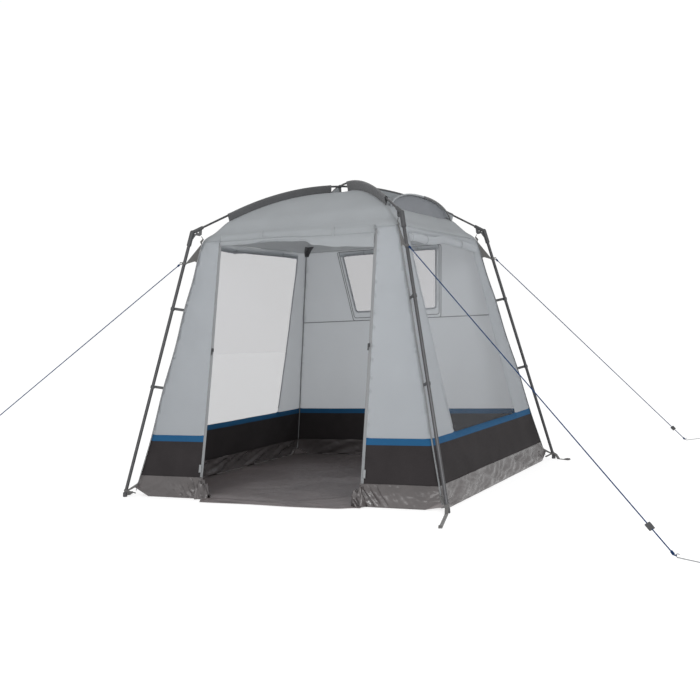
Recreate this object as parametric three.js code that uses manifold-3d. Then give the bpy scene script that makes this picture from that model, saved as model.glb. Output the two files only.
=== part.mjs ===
// Screen house: a free-standing square camping shelter with a fabric body hung inside an external frame.
// Units are millimetres, +Z is up, and the origin is on the ground under the crossing of the roof poles.
// The doorway faces -Y. Each corner has its outward diagonal (angle), the way its guy line runs out
// (heading), and the length and sideways turn of the peg loop on its foot. "r" is the distance from the
// centre along a diagonal, and "half" is the half-width of the body across its flat sides.
import * as THREE from "three";
import { mergeVertices } from "three/addons/utils/BufferGeometryUtils.js";
import Module from "manifold-3d";

const wasm = await Module();
wasm.setup();

// ---- driving dimensions ------------------------------------------------------------------------
const GAP = 0.3; // clearance between touching pieces
const BORE_CLEARANCE = 0.8; // on the radius of every socket and ring
const CLOTH = 3; // thickness of every fabric solid
const WEBBING_WIDTH = 20;
const DIAGONAL = Math.SQRT2; // r of a square's corner over its half-width

const LEG_FOOT_R = 1626; // leg axis on the ground
const ELBOW_R = 1098; // crossing of the leg axis and the roof pole axis
const ELBOW_Z = 1757;
const LEG_OUTER_R = 11;
const LEG_INNER_R = 9.8;
const BOOT_R = 15;
const BOOT_HEIGHT = 30;
const RING_R = 14.6; // outside of every ring that rides on a leg

const POLE_R = 7;
const UPPER_APEX_Z = 2095; // axis of the roof pole that passes over the other
const LOWER_APEX_Z = 2080;
const ARCH_BEND_R = 800; // the arch is a parabola inside this radius and straight outside it
const SLEEVE_INNER_R = 94; // the sleeves leave the crossing of the poles bare
const SLEEVE_OUTER_R = 846;
const SLEEVE_WALL_R = 11;
const SLEEVE_BORE_R = 8.8;
const SLEEVE_TAIL = 39; // from the pole's axis down to the sleeve's seam
const ROOF_DROP = 45; // from the lower pole's axis down to the roof skin

const BASE_HALF = 1100; // body on the ground
const WALL_LEAN = 0.22; // inward travel for each unit of height
const TUB_Z = 130; // top of the groundsheet's upright edge
const EAVE_Z = 1690;

const DOOR_HALF = 580;
const HEADER_Z = 1676; // lower edge of the header over the doorway
const LIP = { left: -500, right: 600, deep: 130 }; // the tub's front edge, folded out flat at the doorway
const DOOR_ROLL = { z: 1640, tall: 66, deep: 26 }; // half-height and depth of the rolled-up door

const HOOD_X = 600; // face of the vent hood on the right roof slope
const HOOD_BASE_Z = 1826;
const HOOD_HALF = 540;
const HOOD_RISE = 125;

const RING_Z = 1548; // ring of the corner tie on the leg
const CLIP_Z = { upper: 1242, lower: 722 };
const GUY_R = 3.2;
const GUY_RUN = 1930; // from the corner tie's eye out to the peg, along the ground
const GUY_END_Z = 11;
const RUNNER_FROM_PEG = 170;
const RUNNER_LENGTH = 36;
const PEG_FROM_CORD = 14.5;
const ZIP_Z = 955;

const CORNERS = {
  front_left: { angle: -135, heading: 221, upper: false, loop: 140, loopTurn: -110 },
  front_right: { angle: -45, heading: -32, upper: true, loop: 440, loopTurn: -29 },
  back_right: { angle: 45, heading: 55, upper: false, loop: 170, loopTurn: -72 },
  back_left: { angle: 135, heading: 122, upper: true, loop: 150, loopTurn: 15 },
};
const SIDES = { front: 0, right: 90, back: 180, left: 270 };

// Side windows and back window, as half-widths and heights of their straight edges.
const SIDE_WINDOW = { bottom: 645, top: 600, low: 425, high: 1640, corner: 50 };
const BACK_WINDOW = { bottom: 345, top: 400, low: 1197, high: 1640, corner: 25 };
const COVER_ROLL = { z: 1658, r: 18, side: 600, back: 420 };

// ---- materials ---------------------------------------------------------------------------------
const paint = (color, roughness, metalness = 0) =>
  new THREE.MeshStandardMaterial({ color, roughness, metalness });
const MATERIAL = {
  wall: () => paint(0x9ca1a6, 0.85),
  roof: () => paint(0x979a9d, 0.85),
  mesh: () => paint(0xb4b7bd, 0.9),
  vent: () => paint(0x6f7478, 0.9),
  sleeve: () => paint(0x2b2c2e, 0.85),
  groundsheet: () => paint(0x595556, 0.45),
  steel: () => paint(0x3a3b3d, 0.45, 0.6),
  plastic: () => paint(0x2c2d2f, 0.6),
  webbing: () => paint(0x3a3b3c, 0.9),
  cord: () => paint(0x2f5f92, 0.8),
  peg: () => paint(0x8a8d90, 0.35, 0.9),
};

// ---- geometry helpers --------------------------------------------------------------------------
const radians = THREE.MathUtils.degToRad;
const Z_AXIS = new THREE.Vector3(0, 0, 1);

function solid(geometry) {
  const bare = geometry.clone();
  bare.deleteAttribute("normal");
  bare.deleteAttribute("uv");
  const merged = mergeVertices(bare, 1e-3);
  return new wasm.Manifold(
    new wasm.Mesh({
      numProp: 3,
      vertProperties: new Float32Array(merged.attributes.position.array),
      triVerts: new Uint32Array(merged.index.array),
    }),
  );
}

function geometryOf(manifold) {
  const mesh = manifold.getMesh();
  const geometry = new THREE.BufferGeometry();
  geometry.setAttribute("position", new THREE.BufferAttribute(new Float32Array(mesh.vertProperties), 3));
  geometry.setIndex(new THREE.BufferAttribute(new Uint32Array(mesh.triVerts), 1));
  geometry.computeVertexNormals();
  return geometry;
}

const union = (...geometries) =>
  geometryOf(geometries.map(solid).reduce((all, one) => all.add(one)));

const cut = (geometry, ...tools) =>
  geometryOf(tools.map(solid).reduce((left, tool) => left.subtract(tool), solid(geometry)));

const common = (geometry, ...others) =>
  geometryOf(others.map(solid).reduce((left, other) => left.intersect(other), solid(geometry)));

function box(x0, x1, y0, y1, z0, z1) {
  const block = new THREE.BoxGeometry(x1 - x0, y1 - y0, z1 - z0);
  return block.translate((x0 + x1) / 2, (y0 + y1) / 2, (z0 + z1) / 2);
}

// A round bar or tube between two points.
function rod(from, to, outer, inner = 0, sides = 6) {
  const shape = new THREE.Shape().absarc(0, 0, outer, 0, 2 * Math.PI);
  if (inner > 0) {
    shape.holes.push(new THREE.Path().absarc(0, 0, inner, 0, 2 * Math.PI));
  }
  const along = to.clone().sub(from);
  const geometry = new THREE.ExtrudeGeometry(shape, {
    depth: along.length(),
    bevelEnabled: false,
    curveSegments: sides,
  });
  geometry.applyQuaternion(new THREE.Quaternion().setFromUnitVectors(Z_AXIS, along.normalize()));
  return geometry.translate(from.x, from.y, from.z);
}

// An outline in the (r, z) plane, made into a plate of the given thickness, centred on y = 0.
function plate(points, thickness, holes = []) {
  const shape = new THREE.Shape(points.map(([r, z]) => new THREE.Vector2(r, z)));
  for (const [r, z, radius] of holes) {
    shape.holes.push(new THREE.Path().absarc(r, z, radius, 0, 2 * Math.PI));
  }
  return new THREE.ExtrudeGeometry(shape, { depth: thickness, bevelEnabled: false, curveSegments: 4 })
    .rotateX(Math.PI / 2)
    .translate(0, thickness / 2, 0);
}

// A profile of (r, z) points turned into a square-sided shell whose corners lie on the diagonals.
function squareLathe(profile) {
  return new THREE.LatheGeometry(
    profile.map(([r, z]) => new THREE.Vector2(r, z)),
    4,
    Math.PI / 4,
  ).rotateX(Math.PI / 2);
}

const point = (r, z, y = 0) => new THREE.Vector3(r, y, z);

// ---- frame lines -------------------------------------------------------------------------------
const legR = (z) => LEG_FOOT_R + ((ELBOW_R - LEG_FOOT_R) * z) / ELBOW_Z;
const legPoint = (z) => point(legR(z), z);
const LEG_DOWN = legPoint(0).sub(legPoint(ELBOW_Z)).normalize();
const ELBOW = point(ELBOW_R, ELBOW_Z);
const RING_MID_R = (LEG_OUTER_R + BORE_CLEARANCE + RING_R) / 2; // inside the wall of a ring
const ringEdge = (z) => [legR(z) - RING_MID_R, z];

const archCurvature = (apex) =>
  (apex - ELBOW_Z) / (ARCH_BEND_R ** 2 + 2 * ARCH_BEND_R * (ELBOW_R - ARCH_BEND_R));

function archZ(r, apex) {
  const k = archCurvature(apex);
  const curved = Math.min(Math.abs(r), ARCH_BEND_R);
  const straight = Math.max(Math.abs(r) - ARCH_BEND_R, 0);
  return apex - k * curved ** 2 - 2 * k * ARCH_BEND_R * straight;
}

class ArchCurve extends THREE.Curve {
  constructor(from, to, apex) {
    super();
    this.from = from;
    this.to = to;
    this.apex = apex;
  }
  getPoint(t, target = new THREE.Vector3()) {
    const r = THREE.MathUtils.lerp(this.from, this.to, t);
    return target.set(r, 0, archZ(r, this.apex));
  }
}

const wallHalf = (z) => BASE_HALF - WALL_LEAN * z;
const wallR = (z) => DIAGONAL * wallHalf(z);

// Roof skin along a diagonal: under the lower pole as far as the sleeves reach, then a soft shoulder.
const SHOULDER = [
  [940, 1754],
  [1000, 1714],
  [wallR(EAVE_Z), EAVE_Z + GAP],
];
const ROOF_LINE = [
  ...[0, 120, 240, 360, 480, 600, 720, SLEEVE_OUTER_R].map((r) => [r, archZ(r, LOWER_APEX_Z) - ROOF_DROP]),
  ...SHOULDER,
];

// ---- corner pieces, built on the +r diagonal ---------------------------------------------------
const ringOnLeg = (z, half) =>
  rod(legPoint(z + half), legPoint(z - half), RING_R, LEG_OUTER_R + BORE_CLEARANCE);

function legGeometry() {
  const tube = rod(legPoint(4), ELBOW.clone().addScaledVector(LEG_DOWN, 16), LEG_OUTER_R, LEG_INNER_R);
  const boot = new THREE.LatheGeometry(
    [
      new THREE.Vector2(0, 0),
      new THREE.Vector2(BOOT_R - 2, 0),
      new THREE.Vector2(BOOT_R, 4),
      new THREE.Vector2(BOOT_R - 2, BOOT_HEIGHT),
      new THREE.Vector2(0, BOOT_HEIGHT),
    ],
    12,
  )
    .rotateX(Math.PI / 2)
    .translate(legR(BOOT_HEIGHT / 2), 0, 0);
  return union(tube, boot);
}

function elbowGeometry(apex) {
  const slope = 2 * archCurvature(apex) * ARCH_BEND_R;
  const inward = point(-1, slope).normalize();
  const legEnd = ELBOW.clone().addScaledVector(LEG_DOWN, 95);
  const poleEnd = ELBOW.clone().addScaledVector(inward, 82);
  const webLeg = ELBOW.clone().addScaledVector(LEG_DOWN, 88);
  const webPole = ELBOW.clone().addScaledVector(inward, 76);
  const web = plate(
    [
      [ELBOW.x, ELBOW.z],
      [webPole.x, webPole.z],
      [1034, 1742],
      [1046, 1732],
      [1074, 1738],
      [webLeg.x, webLeg.z],
    ],
    9,
    [
      [1079, 1752, 5],
      [1057, 1757, 4.5],
      [1097, 1722, 4],
    ],
  );
  const body = union(
    rod(ELBOW, legEnd, 15.6),
    rod(ELBOW, poleEnd, 12),
    new THREE.SphereGeometry(16, 8, 6).translate(ELBOW.x, 0, ELBOW.z),
    web,
  );
  const out = (along, distance) => ELBOW.clone().addScaledVector(along, distance);
  const bore = (along, from, to, r) => rod(out(along, from), out(along, to), r + BORE_CLEARANCE);
  return cut(body, bore(LEG_DOWN, 15, 120, LEG_OUTER_R), bore(inward, 10, 110, POLE_R));
}

// Reinforced gusset sewn to the body's corner, with its ring on the leg, its guy-line eye and its top hook.
const EYE_R = legR(RING_Z) + 22;
function cornerTieGeometry() {
  const ring = ringOnLeg(RING_Z, 7);
  const eye = plate(
    Array.from({ length: 10 }, (_, i) => {
      const turn = (i * 2 * Math.PI) / 10;
      return [EYE_R + 10 * Math.cos(turn), RING_Z + 10 * Math.sin(turn)];
    }),
    4,
    [[EYE_R, RING_Z, 5]],
  );
  const gusset = plate(
    [
      [wallR(1684) + 2, 1684],
      [wallR(1640) + 2, 1640],
      [wallR(1552) + 2, 1552],
      [wallR(1552) + 16, 1560],
      ringEdge(RING_Z - 5),
      ringEdge(RING_Z + 6),
    ],
    CLOTH,
  );
  const hook = rod(point(1037, 1730), point(1022, 1706), 2.5, 0, 4);
  const hookStrap = plate(
    [
      [1022, 1706],
      [1030, 1713],
      [1048, 1694],
      [wallR(1672) + 4, 1672],
      [wallR(1686) + 4, 1686],
    ],
    CLOTH,
  );
  return union(ring, eye, gusset, hookStrap, hook);
}

// Plastic clip on the leg with the webbing that holds the body's corner seam out to it.
function legClipGeometry(z) {
  const ring = ringOnLeg(z, 9);
  const strap = plate(
    [
      ringEdge(z - 9),
      ringEdge(z + 9),
      [wallR(z - 12) + 2, z - 2],
      [wallR(z - 30) + 2, z - 20],
    ],
    CLOTH,
  );
  return union(ring, strap);
}

// Webbing that pulls the tub's corner out to the bottom of the leg, with its peg loop lying on the ground.
function footStrapGeometry({ loop, loopTurn }) {
  const ringZ = BOOT_HEIGHT + 11;
  const toSeam = plate(
    [
      ringEdge(ringZ - 5),
      ringEdge(ringZ + 6),
      [wallR(78) + 2, 84],
      [wallR(66) + 2, 66],
    ],
    WEBBING_WIDTH,
  );
  const toHem = plate(
    [
      ringEdge(ringZ - 6),
      ringEdge(ringZ - 2),
      [wallR(20) + 2, 22],
      [wallR(16) + 2, 16],
    ],
    WEBBING_WIDTH,
  );
  const pegLoop = plate(
    [
      [RING_MID_R, ringZ + 5],
      [RING_MID_R, ringZ - 5],
      [30, 30],
      [54, 1],
      [loop - 10, GAP],
      [loop, 6],
      [loop - 8, 15],
      [loop - 36, 14],
      [loop - 60, 4],
      [64, 4.5],
      [37, 36],
    ],
    WEBBING_WIDTH,
    [[loop - 20, 7.5, 4]],
  )
    .rotateZ(radians(loopTurn))
    .translate(legR(ringZ), 0, 0);
  return union(ringOnLeg(ringZ, 6), toSeam, toHem, pegLoop);
}

// ---- roof pieces -------------------------------------------------------------------------------
function roofPoleGeometry(apex) {
  const reach = ELBOW_R - 13;
  const circle = new THREE.Shape().absarc(0, 0, POLE_R, 0, 2 * Math.PI);
  return new THREE.ExtrudeGeometry(circle, {
    extrudePath: new ArchCurve(-reach, reach, apex),
    steps: 24,
    curveSegments: 4,
    bevelEnabled: false,
  });
}

// A sleeve is a narrow loop of fabric round the pole whose tail hangs down to the roof seam.
function sleeveGeometry(apex) {
  const section = new THREE.Shape();
  section.moveTo(2, SLEEVE_TAIL);
  section.lineTo(-2, SLEEVE_TAIL);
  section.absarc(0, 0, SLEEVE_WALL_R, Math.PI * 0.88, Math.PI * 2.12);
  section.closePath();
  section.holes.push(new THREE.Path().absarc(0, 0, SLEEVE_BORE_R, 0, 2 * Math.PI));
  return new THREE.ExtrudeGeometry(section, {
    extrudePath: new ArchCurve(SLEEVE_INNER_R, SLEEVE_OUTER_R, apex),
    steps: 8,
    curveSegments: 4,
    bevelEnabled: false,
  });
}

function roofGeometry() {
  const inner = ROOF_LINE.map(([r, z]) => [Math.max(r - CLOTH * (r > SLEEVE_OUTER_R), 0), z - CLOTH]);
  inner[inner.length - 1][1] = EAVE_Z + GAP;
  const shell = squareLathe([...inner, ...ROOF_LINE.toReversed()]);
  const ventHole = box(440, 560, -400, 400, HOOD_BASE_Z - 60, HOOD_BASE_Z + 200);
  return cut(shell, ventHole);
}

// Everything inside the upper walls and the roof skin, used to trim what stands on them.
function insideBody() {
  const low = 1400;
  const grown = ROOF_LINE.map(([r, z]) => [r + GAP * DIAGONAL, z + GAP]).reverse();
  return squareLathe([
    [0, low],
    [wallR(low) + GAP * DIAGONAL, low],
    ...grown,
    [0, LOWER_APEX_Z - ROOF_DROP + GAP],
  ]);
}

// The upper half of an ellipse with straight sides below it, extruded along X from x0 to x1.
function arch(inset, x0, x1) {
  const half = HOOD_HALF - inset;
  const outline = new THREE.Shape();
  outline.moveTo(-half, -60);
  outline.lineTo(half, -60);
  outline.absellipse(0, 0, half, HOOD_RISE - inset, 0, Math.PI);
  outline.closePath();
  return new THREE.ExtrudeGeometry(outline, { depth: x1 - x0, bevelEnabled: false, curveSegments: 12 })
    .rotateX(Math.PI / 2)
    .rotateZ(Math.PI / 2)
    .translate(x0, 0, HOOD_BASE_Z);
}

const ventHoodGeometry = () => cut(arch(0, 250, HOOD_X), arch(CLOTH, 240, HOOD_X + 10), insideBody());

const ventMeshGeometry = () => cut(arch(CLOTH + GAP, HOOD_X - 14, HOOD_X - 11), insideBody());

// Hook that hangs the roof from the lower pole beside the crossing.
function apexHookGeometry() {
  const beside = 24;
  const roofTop = LOWER_APEX_Z - ROOF_DROP + GAP;
  const loop = rod(point(beside - 6, LOWER_APEX_Z), point(beside + 6, LOWER_APEX_Z), 11.5);
  const stem = box(beside - 6, beside + 6, -3, 3, roofTop, LOWER_APEX_Z - 4);
  const pad = box(beside - 14, beside + 14, -14, 14, roofTop, roofTop + 3);
  const axisZ = LOWER_APEX_Z - 1;
  const bore = rod(point(beside - 20, axisZ), point(beside + 20, axisZ), POLE_R + 1.2);
  return cut(union(loop, stem, pad), bore);
}

// ---- walls, built facing -Y --------------------------------------------------------------------
// One side of the square body shell between two heights, mitred at the corners.
function wallGeometry() {
  const heights = [TUB_Z + GAP, EAVE_Z];
  const outer = heights.map((z) => [wallR(z), z]);
  const inner = heights.map((z) => [wallR(z) - DIAGONAL * CLOTH, z]).reverse();
  const shell = squareLathe([...outer, ...inner, outer[0]]);
  const wedge = new THREE.Shape([
    new THREE.Vector2(0, -GAP),
    new THREE.Vector2(-2000, -2000 - GAP),
    new THREE.Vector2(2000, -2000 - GAP),
  ]);
  return common(shell, new THREE.ExtrudeGeometry(wedge, { depth: 2200, bevelEnabled: false }));
}

// A window outline with rounded corners, grown by margin and extruded through the wall between two depths.
function windowTool({ bottom, top, low, high, corner }, margin, y0, y1) {
  const ends = [
    [-bottom - margin, low - margin],
    [bottom + margin, low - margin],
    [top + margin, high + margin],
    [-top - margin, high + margin],
  ].map(([x, z]) => new THREE.Vector2(x, z));
  const outline = new THREE.Shape();
  ends.forEach((end, i) => {
    const before = ends[(i + 3) % 4];
    const after = ends[(i + 1) % 4];
    const enter = end.clone().lerp(before, corner / end.distanceTo(before));
    const leave = end.clone().lerp(after, corner / end.distanceTo(after));
    if (i === 0) {
      outline.moveTo(enter.x, enter.y);
    } else {
      outline.lineTo(enter.x, enter.y);
    }
    outline.quadraticCurveTo(end.x, end.y, leave.x, leave.y);
  });
  outline.closePath();
  return new THREE.ExtrudeGeometry(outline, { depth: y1 - y0, bevelEnabled: false, curveSegments: 4 })
    .rotateX(Math.PI / 2)
    .translate(0, y1, 0);
}

function windowedWall(window, rollHalf) {
  const y = -wallHalf(COVER_ROLL.z) - COVER_ROLL.r + CLOTH;
  const roll = rod(
    new THREE.Vector3(-rollHalf, y, COVER_ROLL.z),
    new THREE.Vector3(rollHalf, y, COVER_ROLL.z),
    COVER_ROLL.r,
  );
  return union(cut(wallGeometry(), windowTool(window, 0, -1200, -500)), roll);
}

// The mesh fills the window's opening and is half as thick as the wall.
const windowMesh = (window) => common(wallGeometry(), windowTool(window, -GAP, -1200, -500));

const frontPanel = (x0, x1, z0) => common(wallGeometry(), box(x0, x1, -1200, 0, z0, 2000));

function doorRollGeometry() {
  const half = DOOR_HALF - 6;
  const roll = new THREE.CylinderGeometry(1, 1, 2 * half, 16)
    .rotateZ(Math.PI / 2)
    .scale(1, DOOR_ROLL.deep, DOOR_ROLL.tall)
    .translate(0, -wallHalf(DOOR_ROLL.z), DOOR_ROLL.z);
  return cut(roll, insideBody());
}

// Zip slider with its pull, riding on the free edge of a jamb.
function zipSliderGeometry(side) {
  const lean = Math.atan(WALL_LEAN);
  const slider = union(
    box(-6, 6, -6, 5, -11, 11),
    box(-2.5, 2.5, -9, -5, -3, 3),
    box(-4, 4, -11, -8, -34, 4),
  );
  return slider
    .rotateX(-lean)
    .translate(side * (DOOR_HALF - GAP - 6.2), -wallHalf(ZIP_Z) + CLOTH / 2, ZIP_Z);
}

// ---- groundsheet -------------------------------------------------------------------------------
function groundsheetGeometry() {
  const tub = squareLathe([
    [0, 0],
    [wallR(0), 0],
    [wallR(TUB_Z), TUB_Z],
    [wallR(TUB_Z) - DIAGONAL * CLOTH, TUB_Z],
    [wallR(CLOTH) - DIAGONAL * CLOTH, CLOTH],
    [0, CLOTH],
  ]);
  const doorway = box(-DOOR_HALF, DOOR_HALF, -1300, -900, CLOTH, TUB_Z + 20);
  const lip = box(LIP.left, LIP.right, -BASE_HALF - LIP.deep, -BASE_HALF + 40, 0, CLOTH);
  return union(cut(tub, doorway), lip);
}

// ---- guy lines ---------------------------------------------------------------------------------
// Where a corner's guy line starts and ends, in the part's own frame.
function guyEnds({ angle, heading }) {
  const start = point(EYE_R, RING_Z).applyAxisAngle(Z_AXIS, radians(angle));
  const end = new THREE.Vector3(GUY_RUN, 0, 0).applyAxisAngle(Z_AXIS, radians(heading)).add(start);
  end.z = GUY_END_Z;
  const along = end.clone().sub(start).normalize();
  return { start: start.addScaledVector(along, 11), end, along };
}

function runnerGeometry() {
  const outline = new THREE.Shape();
  outline.absarc(0, -9, 6, Math.PI, 2 * Math.PI);
  outline.absarc(0, 9, 6, 0, Math.PI);
  outline.closePath();
  outline.holes.push(new THREE.Path().absarc(0, 0, GUY_R + GAP, 0, 2 * Math.PI));
  return new THREE.ExtrudeGeometry(outline, {
    depth: RUNNER_LENGTH,
    bevelEnabled: false,
    curveSegments: 5,
  }).translate(0, 0, -RUNNER_LENGTH / 2);
}

// Hooked wire peg lying along +X with its hook at the near end.
function pegGeometry() {
  const wire = 2.5;
  const bend = 8;
  const bulge = bend * 1.33;
  const low = wire + GAP;
  const high = low + 2 * bend;
  const at = (x, z) => new THREE.Vector3(x, 0, z);
  const path = new THREE.CurvePath();
  path.add(new THREE.LineCurve3(at(185, low), at(0, low)));
  path.add(new THREE.CubicBezierCurve3(at(0, low), at(-bulge, low), at(-bulge, high), at(0, high)));
  path.add(new THREE.LineCurve3(at(0, high), at(14, high)));
  const circle = new THREE.Shape().absarc(0, 0, wire, 0, 2 * Math.PI);
  return new THREE.ExtrudeGeometry(circle, {
    extrudePath: path,
    steps: 16,
    curveSegments: 3,
    bevelEnabled: false,
  });
}

// ---- assembly ----------------------------------------------------------------------------------
const screenHouse = new THREE.Group();

function add(parent, name, geometry, material) {
  const mesh = new THREE.Mesh(geometry, material);
  mesh.name = name;
  parent.add(mesh);
  return mesh;
}

for (const [corner, place] of Object.entries(CORNERS)) {
  const { angle, upper } = place;
  const group = new THREE.Group();
  const apex = upper ? UPPER_APEX_Z : LOWER_APEX_Z;
  group.rotation.z = radians(angle);
  screenHouse.add(group);
  add(group, `leg_${corner}`, legGeometry(), MATERIAL.steel());
  add(group, `elbow_${corner}`, elbowGeometry(apex), MATERIAL.plastic());
  add(group, `corner_tie_${corner}`, cornerTieGeometry(), MATERIAL.webbing());
  add(group, `foot_strap_${corner}`, footStrapGeometry(place), MATERIAL.webbing());
  add(group, `pole_sleeve_${corner}`, sleeveGeometry(apex), MATERIAL.sleeve());
  for (const [level, z] of Object.entries(CLIP_Z)) {
    add(group, `leg_clip_${level}_${corner}`, legClipGeometry(z), MATERIAL.plastic());
  }
}

for (const [name, corner] of [
  ["roof_pole_upper", CORNERS.front_right],
  ["roof_pole_lower", CORNERS.front_left],
]) {
  const pole = roofPoleGeometry(corner.upper ? UPPER_APEX_Z : LOWER_APEX_Z);
  add(screenHouse, name, pole, MATERIAL.steel()).rotation.z = radians(corner.angle);
}
add(screenHouse, "apex_hook", apexHookGeometry(), MATERIAL.plastic()).rotation.z = radians(
  CORNERS.front_left.angle,
);
add(screenHouse, "roof", roofGeometry(), MATERIAL.roof());
add(screenHouse, "vent_hood", ventHoodGeometry(), MATERIAL.roof());
add(screenHouse, "vent_mesh", ventMeshGeometry(), MATERIAL.vent());

add(screenHouse, "wall_front_left", frontPanel(-2000, -DOOR_HALF, 0), MATERIAL.wall());
add(screenHouse, "wall_front_right", frontPanel(DOOR_HALF, 2000, 0), MATERIAL.wall());
const header = frontPanel(-DOOR_HALF + GAP, DOOR_HALF - GAP, HEADER_Z);
add(screenHouse, "wall_front_header", header, MATERIAL.wall());
add(screenHouse, "door_roll", doorRollGeometry(), MATERIAL.wall());
for (const [name, window, rollHalf] of [
  ["right", SIDE_WINDOW, COVER_ROLL.side],
  ["back", BACK_WINDOW, COVER_ROLL.back],
  ["left", SIDE_WINDOW, COVER_ROLL.side],
]) {
  const turn = radians(SIDES[name]);
  add(screenHouse, `wall_${name}`, windowedWall(window, rollHalf), MATERIAL.wall()).rotation.z = turn;
  add(screenHouse, `window_mesh_${name}`, windowMesh(window), MATERIAL.mesh()).rotation.z = turn;
}
add(screenHouse, "zip_slider_left", zipSliderGeometry(-1), MATERIAL.plastic());
add(screenHouse, "zip_slider_right", zipSliderGeometry(1), MATERIAL.plastic());
add(screenHouse, "groundsheet", groundsheetGeometry(), MATERIAL.groundsheet());

for (const [corner, place] of Object.entries(CORNERS)) {
  const { start, end, along } = guyEnds(place);
  add(screenHouse, `guy_line_${corner}`, rod(start, end, GUY_R, 0, 4), MATERIAL.cord());

  const runner = add(screenHouse, `guy_runner_${corner}`, runnerGeometry(), MATERIAL.plastic());
  runner.quaternion.setFromUnitVectors(Z_AXIS, along);
  runner.position.copy(end).addScaledVector(along, -RUNNER_FROM_PEG);

  const peg = add(screenHouse, `peg_${corner}`, pegGeometry(), MATERIAL.peg());
  peg.rotation.z = radians(place.heading);
  peg.position.set(PEG_FROM_CORD, 0, 0).applyAxisAngle(Z_AXIS, radians(place.heading));
  peg.position.add(new THREE.Vector3(end.x, end.y, 0));
}

export default screenHouse;
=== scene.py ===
"""Screen house: the looks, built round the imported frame. Metres, +Z up, doorway towards -Y.

"half" is the half-width of the body across its flat sides, "r" the distance from the centre along a
diagonal. Side 0 is the front, and the sides follow anticlockwise seen from above: right, back, left.
"""

import math
from functools import partial

import bpy
from mathutils import Matrix, Vector, noise
from mathutils.geometry import delaunay_2d_cdt


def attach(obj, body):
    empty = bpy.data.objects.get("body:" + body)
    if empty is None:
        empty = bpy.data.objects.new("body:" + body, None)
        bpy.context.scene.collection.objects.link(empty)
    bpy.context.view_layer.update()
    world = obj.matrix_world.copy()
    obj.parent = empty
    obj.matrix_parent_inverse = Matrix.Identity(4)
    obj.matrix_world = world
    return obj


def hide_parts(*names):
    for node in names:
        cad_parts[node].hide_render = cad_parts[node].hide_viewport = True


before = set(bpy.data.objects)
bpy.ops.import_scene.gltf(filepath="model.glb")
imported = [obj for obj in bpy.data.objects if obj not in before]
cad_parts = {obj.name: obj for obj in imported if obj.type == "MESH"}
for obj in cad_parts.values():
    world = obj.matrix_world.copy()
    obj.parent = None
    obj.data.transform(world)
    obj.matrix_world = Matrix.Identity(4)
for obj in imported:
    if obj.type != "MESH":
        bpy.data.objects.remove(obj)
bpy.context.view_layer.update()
BODY = "shelter"

# ---- dimensions, as in the CAD -------------------------------------------------------------------
LEG_FOOT_R, ELBOW_R, ELBOW_Z = 1.626, 1.098, 1.757
UPPER_APEX_Z, LOWER_APEX_Z, ARCH_BEND_R = 2.095, 2.080, 0.8
SLEEVE_INNER_R, SLEEVE_OUTER_R = 0.094, 0.846
ROOF_DROP = 0.045
BASE_HALF, WALL_LEAN = 1.1, 0.22
TUB_Z, EAVE_Z = 0.130, 1.690
BLACK_TOP_Z, BLUE_TOP_Z = 0.360, 0.400
DOOR_HALF, HEADER_Z = 0.580, 1.676
LIP_LEFT, LIP_RIGHT, LIP_DEEP = -0.500, 0.600, 0.130
RING_Z = 1.548
GUY_RUN, GUY_END_Z, GUY_R = 1.93, 0.011, 0.0032
HOOD_X, HOOD_BASE_Z, HOOD_HALF, HOOD_RISE = 0.6, 1.826, 0.54, 0.125
DIAGONAL = math.sqrt(2)
CORNERS = {
    "front_left": (-135, 221),
    "front_right": (-45, -32),
    "back_right": (45, 55),
    "back_left": (135, 122),
}
UPPER_POLE = ("front_right", "back_left")


def smoothstep(t):
    t = min(max(t, 0.0), 1.0)
    return t * t * (3 - 2 * t)


def lerp(a, b, t):
    return a + (b - a) * t


def leg_r(z):
    return LEG_FOOT_R + (ELBOW_R - LEG_FOOT_R) * z / ELBOW_Z


def arch_z(r, apex):
    k = (apex - ELBOW_Z) / (ARCH_BEND_R**2 + 2 * ARCH_BEND_R * (ELBOW_R - ARCH_BEND_R))
    curved, straight = min(abs(r), ARCH_BEND_R), max(abs(r) - ARCH_BEND_R, 0)
    return apex - k * curved**2 - 2 * k * ARCH_BEND_R * straight


def on_corner(corner, r, z, side=0.0):
    """A point on a corner's diagonal plane, pushed sideways by side."""
    a = math.radians(CORNERS[corner][0])
    return Vector((r * math.cos(a) - side * math.sin(a), r * math.sin(a) + side * math.cos(a), z))


def turned(side, p):
    """A point of the front wall, turned to another side."""
    c, s = ((1, 0), (0, 1), (-1, 0), (0, -1))[side]
    return Vector((p[0] * c - p[1] * s, p[0] * s + p[1] * c, p[2]))


# ---- camera --------------------------------------------------------------------------------------
CAMERA_AT = Vector((3.146, -6.305, 1.049))
YAW, PITCH, ROLL = math.radians(26.52), math.radians(1.14), math.radians(-2.27)
LENS, SENSOR = 50.5, 36.0

ahead = Vector((-math.sin(YAW) * math.cos(PITCH), math.cos(YAW) * math.cos(PITCH), -math.sin(PITCH)))
level = Vector((math.cos(YAW), math.sin(YAW), 0))
rise = level.cross(ahead)
right = level * math.cos(ROLL) + rise * math.sin(ROLL)
up = rise * math.cos(ROLL) - level * math.sin(ROLL)
camera_data = bpy.data.cameras.new("camera")
camera_data.lens, camera_data.sensor_width = LENS, SENSOR
camera_data.clip_start, camera_data.clip_end = 0.05, 200
camera = bpy.data.objects.new("camera", camera_data)
camera.matrix_world = Matrix.Translation(CAMERA_AT) @ Matrix((right, up, -ahead)).transposed().to_4x4()
bpy.context.scene.collection.objects.link(camera)
bpy.context.scene.camera = camera


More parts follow.
